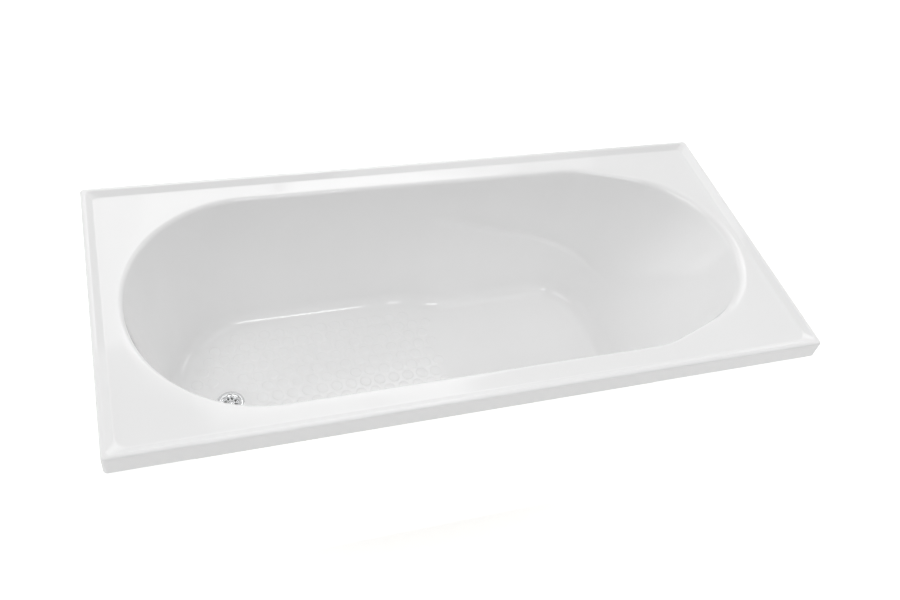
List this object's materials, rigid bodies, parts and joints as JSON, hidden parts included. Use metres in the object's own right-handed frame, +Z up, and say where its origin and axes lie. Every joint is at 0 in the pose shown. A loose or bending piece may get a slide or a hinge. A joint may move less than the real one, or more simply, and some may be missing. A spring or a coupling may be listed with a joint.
{
  "type": "bathtub",
  "caption": "Inset rectangular acrylic bathtub with a moulded bowl, backrest and armrests, grip dots on the floor, chrome waste, base board, battens and a height-adjustable leg set.",
  "frame": {"origin": "on the floor under the middle of the rim, feet fully screwed out", "axes": "+X to the head end with the backrest, +Y to the long back side away from the viewer, +Z up"},
  "size_m": [1.65, 0.76, 0.54],
  "materials": {
    "acrylic": "high gloss white cast acrylic",
    "glassfibre": "sprayed chopped glassfibre and resin, rough",
    "chipboard": "raw chipboard",
    "timber": "planed softwood",
    "zinc_steel": "bright zinc plate",
    "chrome": "polished chrome plate",
    "seal_rubber": "soft black rubber",
    "waste_plastic": "satin white polypropylene",
    "foot_plastic": "satin white nylon"
  },
  "bodies": {
    "tub": {"bath_shell": "acrylic", "glassfibre_backing": "glassfibre", "base_board": "chipboard", "rail_screws": "zinc_steel", "front_rim_batten": "timber", "back_rim_batten": "timber", "waste_end_batten": "timber", "waste_end_rail": "zinc_steel", "head_end_rail": "zinc_steel", "weld_nuts": "zinc_steel", "lock_nuts": "zinc_steel", "waste_flange": "chrome", "waste_screw": "chrome", "waste_top_seal": "seal_rubber", "waste_bottom_seal": "seal_rubber", "waste_body": "waste_plastic"},
    "pad_waste_front": {"foot_pad_waste_front": "foot_plastic"},
    "rod_waste_front": {"foot_rod_waste_front": "zinc_steel"},
    "pad_waste_back": {"foot_pad_waste_back": "foot_plastic"},
    "rod_waste_back": {"foot_rod_waste_back": "zinc_steel"},
    "pad_head_front": {"foot_pad_head_front": "foot_plastic"},
    "rod_head_front": {"foot_rod_head_front": "zinc_steel"},
    "pad_head_back": {"foot_pad_head_back": "foot_plastic"},
    "rod_head_back": {"foot_rod_head_back": "zinc_steel"}
  },
  "joints": [
    {"name": "foot_height_waste_front", "type": "slide", "parent": "tub", "child": "pad_waste_front", "axis": [0, 0, 1], "range_m": [0, 0.03]},
    {"name": "foot_screw_waste_front", "type": "hinge", "parent": "pad_waste_front", "child": "rod_waste_front", "pos_m": [-0.38, -0.3, 0.06], "axis": [0, 0, 1], "range_deg": [0, 6172]},
    {"name": "foot_height_waste_back", "type": "slide", "parent": "tub", "child": "pad_waste_back", "axis": [0, 0, 1], "range_m": [0, 0.03]},
    {"name": "foot_screw_waste_back", "type": "hinge", "parent": "pad_waste_back", "child": "rod_waste_back", "pos_m": [-0.38, 0.3, 0.06], "axis": [0, 0, 1], "range_deg": [0, 6172]},
    {"name": "foot_height_head_front", "type": "slide", "parent": "tub", "child": "pad_head_front", "axis": [0, 0, 1], "range_m": [0, 0.03]},
    {"name": "foot_screw_head_front", "type": "hinge", "parent": "pad_head_front", "child": "rod_head_front", "pos_m": [0.36, -0.3, 0.06], "axis": [0, 0, 1], "range_deg": [0, 6172]},
    {"name": "foot_height_head_back", "type": "slide", "parent": "tub", "child": "pad_head_back", "axis": [0, 0, 1], "range_m": [0, 0.03]},
    {"name": "foot_screw_head_back", "type": "hinge", "parent": "pad_head_back", "child": "rod_head_back", "pos_m": [0.36, 0.3, 0.06], "axis": [0, 0, 1], "range_deg": [0, 6172]}
  ],
  "couplings": [
    {"joint": "foot_screw_waste_front", "follows": "foot_height_waste_front", "rad_per_m": 3590.4},
    {"joint": "foot_screw_waste_back", "follows": "foot_height_waste_back", "rad_per_m": 3590.4},
    {"joint": "foot_screw_head_front", "follows": "foot_height_head_front", "rad_per_m": 3590.4},
    {"joint": "foot_screw_head_back", "follows": "foot_height_head_back", "rad_per_m": 3590.4}
  ]
}
